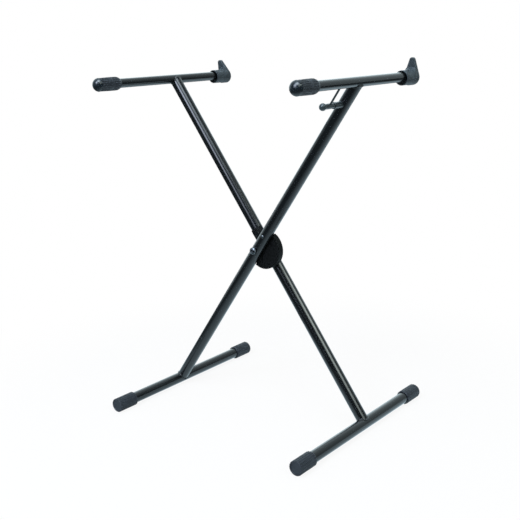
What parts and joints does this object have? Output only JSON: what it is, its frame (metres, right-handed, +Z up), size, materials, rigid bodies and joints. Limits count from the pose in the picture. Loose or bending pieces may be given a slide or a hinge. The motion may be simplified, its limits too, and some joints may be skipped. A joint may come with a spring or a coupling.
{
  "type": "folding x keyboard stand",
  "caption": "Single-braced folding X stand of round steel tube, with rubber end caps, turning stops on the arms and a lever that frees a toothed plate at the pivot.",
  "frame": {"origin": "on the floor, straight below the pivot bolt and halfway between the two legs", "axes": "+Z up, +X to the right across the stand, +Y to the back, where the stops are"},
  "size_m": [0.6237, 0.5236, 0.8757],
  "materials": {
    "black_powder_coat": "semi-gloss black powder coat",
    "ribbed_rubber": "dark grey moulded rubber, matt",
    "matt_plastic": "black moulded plastic, matt",
    "plated_steel": "dull dark zinc plate",
    "spring_steel": "drawn wire",
    "lever_enamel": "gloss black enamel",
    "ball_plastic": "gloss black moulded plastic"
  },
  "bodies": {
    "rear_frame": {"rear_leg_tube": "black_powder_coat", "left_arm_tube": "black_powder_coat", "right_foot_tube": "black_powder_coat", "left_arm_front_cap": "ribbed_rubber", "right_foot_front_cap": "ribbed_rubber", "right_foot_rear_cap": "ribbed_rubber", "pivot_sleeve": "matt_plastic", "lock_plate": "black_powder_coat", "plate_rivet_lower": "plated_steel", "plate_rivet_upper": "plated_steel", "rear_leg_bush": "plated_steel", "pivot_bolt": "plated_steel", "pivot_washer": "plated_steel", "pivot_nut": "plated_steel"},
    "front_frame": {"front_leg_tube": "black_powder_coat", "right_arm_tube": "black_powder_coat", "left_foot_tube": "black_powder_coat", "right_arm_front_cap": "ribbed_rubber", "left_foot_front_cap": "ribbed_rubber", "left_foot_rear_cap": "ribbed_rubber", "pivot_cover": "matt_plastic", "front_leg_bush": "plated_steel", "rod_guide": "matt_plastic", "return_spring": "spring_steel"},
    "release": {"release_lever": "lever_enamel", "lever_collar": "lever_enamel", "lever_ball": "ball_plastic", "lever_guide_rod": "lever_enamel", "pull_rod": "plated_steel", "spring_collar": "plated_steel", "lock_pin": "plated_steel"},
    "left_stop": {"left_arm_stop": "ribbed_rubber"},
    "right_stop": {"right_arm_stop": "ribbed_rubber"}
  },
  "joints": [
    {"name": "fold", "type": "hinge", "parent": "rear_frame", "child": "front_frame", "pos_m": [0, 0, 0.42177], "axis": [0, 1, 0], "range_deg": [-65, 38]},
    {"name": "release_slide", "type": "slide", "parent": "front_frame", "child": "release", "axis": [0.5801, 0, 0.8145], "range_m": [0, 0.0064], "stiffness_N_per_m": 600, "springref_m": -0.015, "deforming": ["return_spring"]},
    {"name": "left_stop_turn", "type": "hinge", "parent": "rear_frame", "child": "left_stop", "pos_m": [-0.2925, 0, 0.83245], "axis": [0, 1, 0], "range_deg": [-60, 6]},
    {"name": "right_stop_turn", "type": "hinge", "parent": "front_frame", "child": "right_stop", "pos_m": [0.2925, 0, 0.83245], "axis": [0, 1, 0], "range_deg": [-6, 60]}
  ]
}
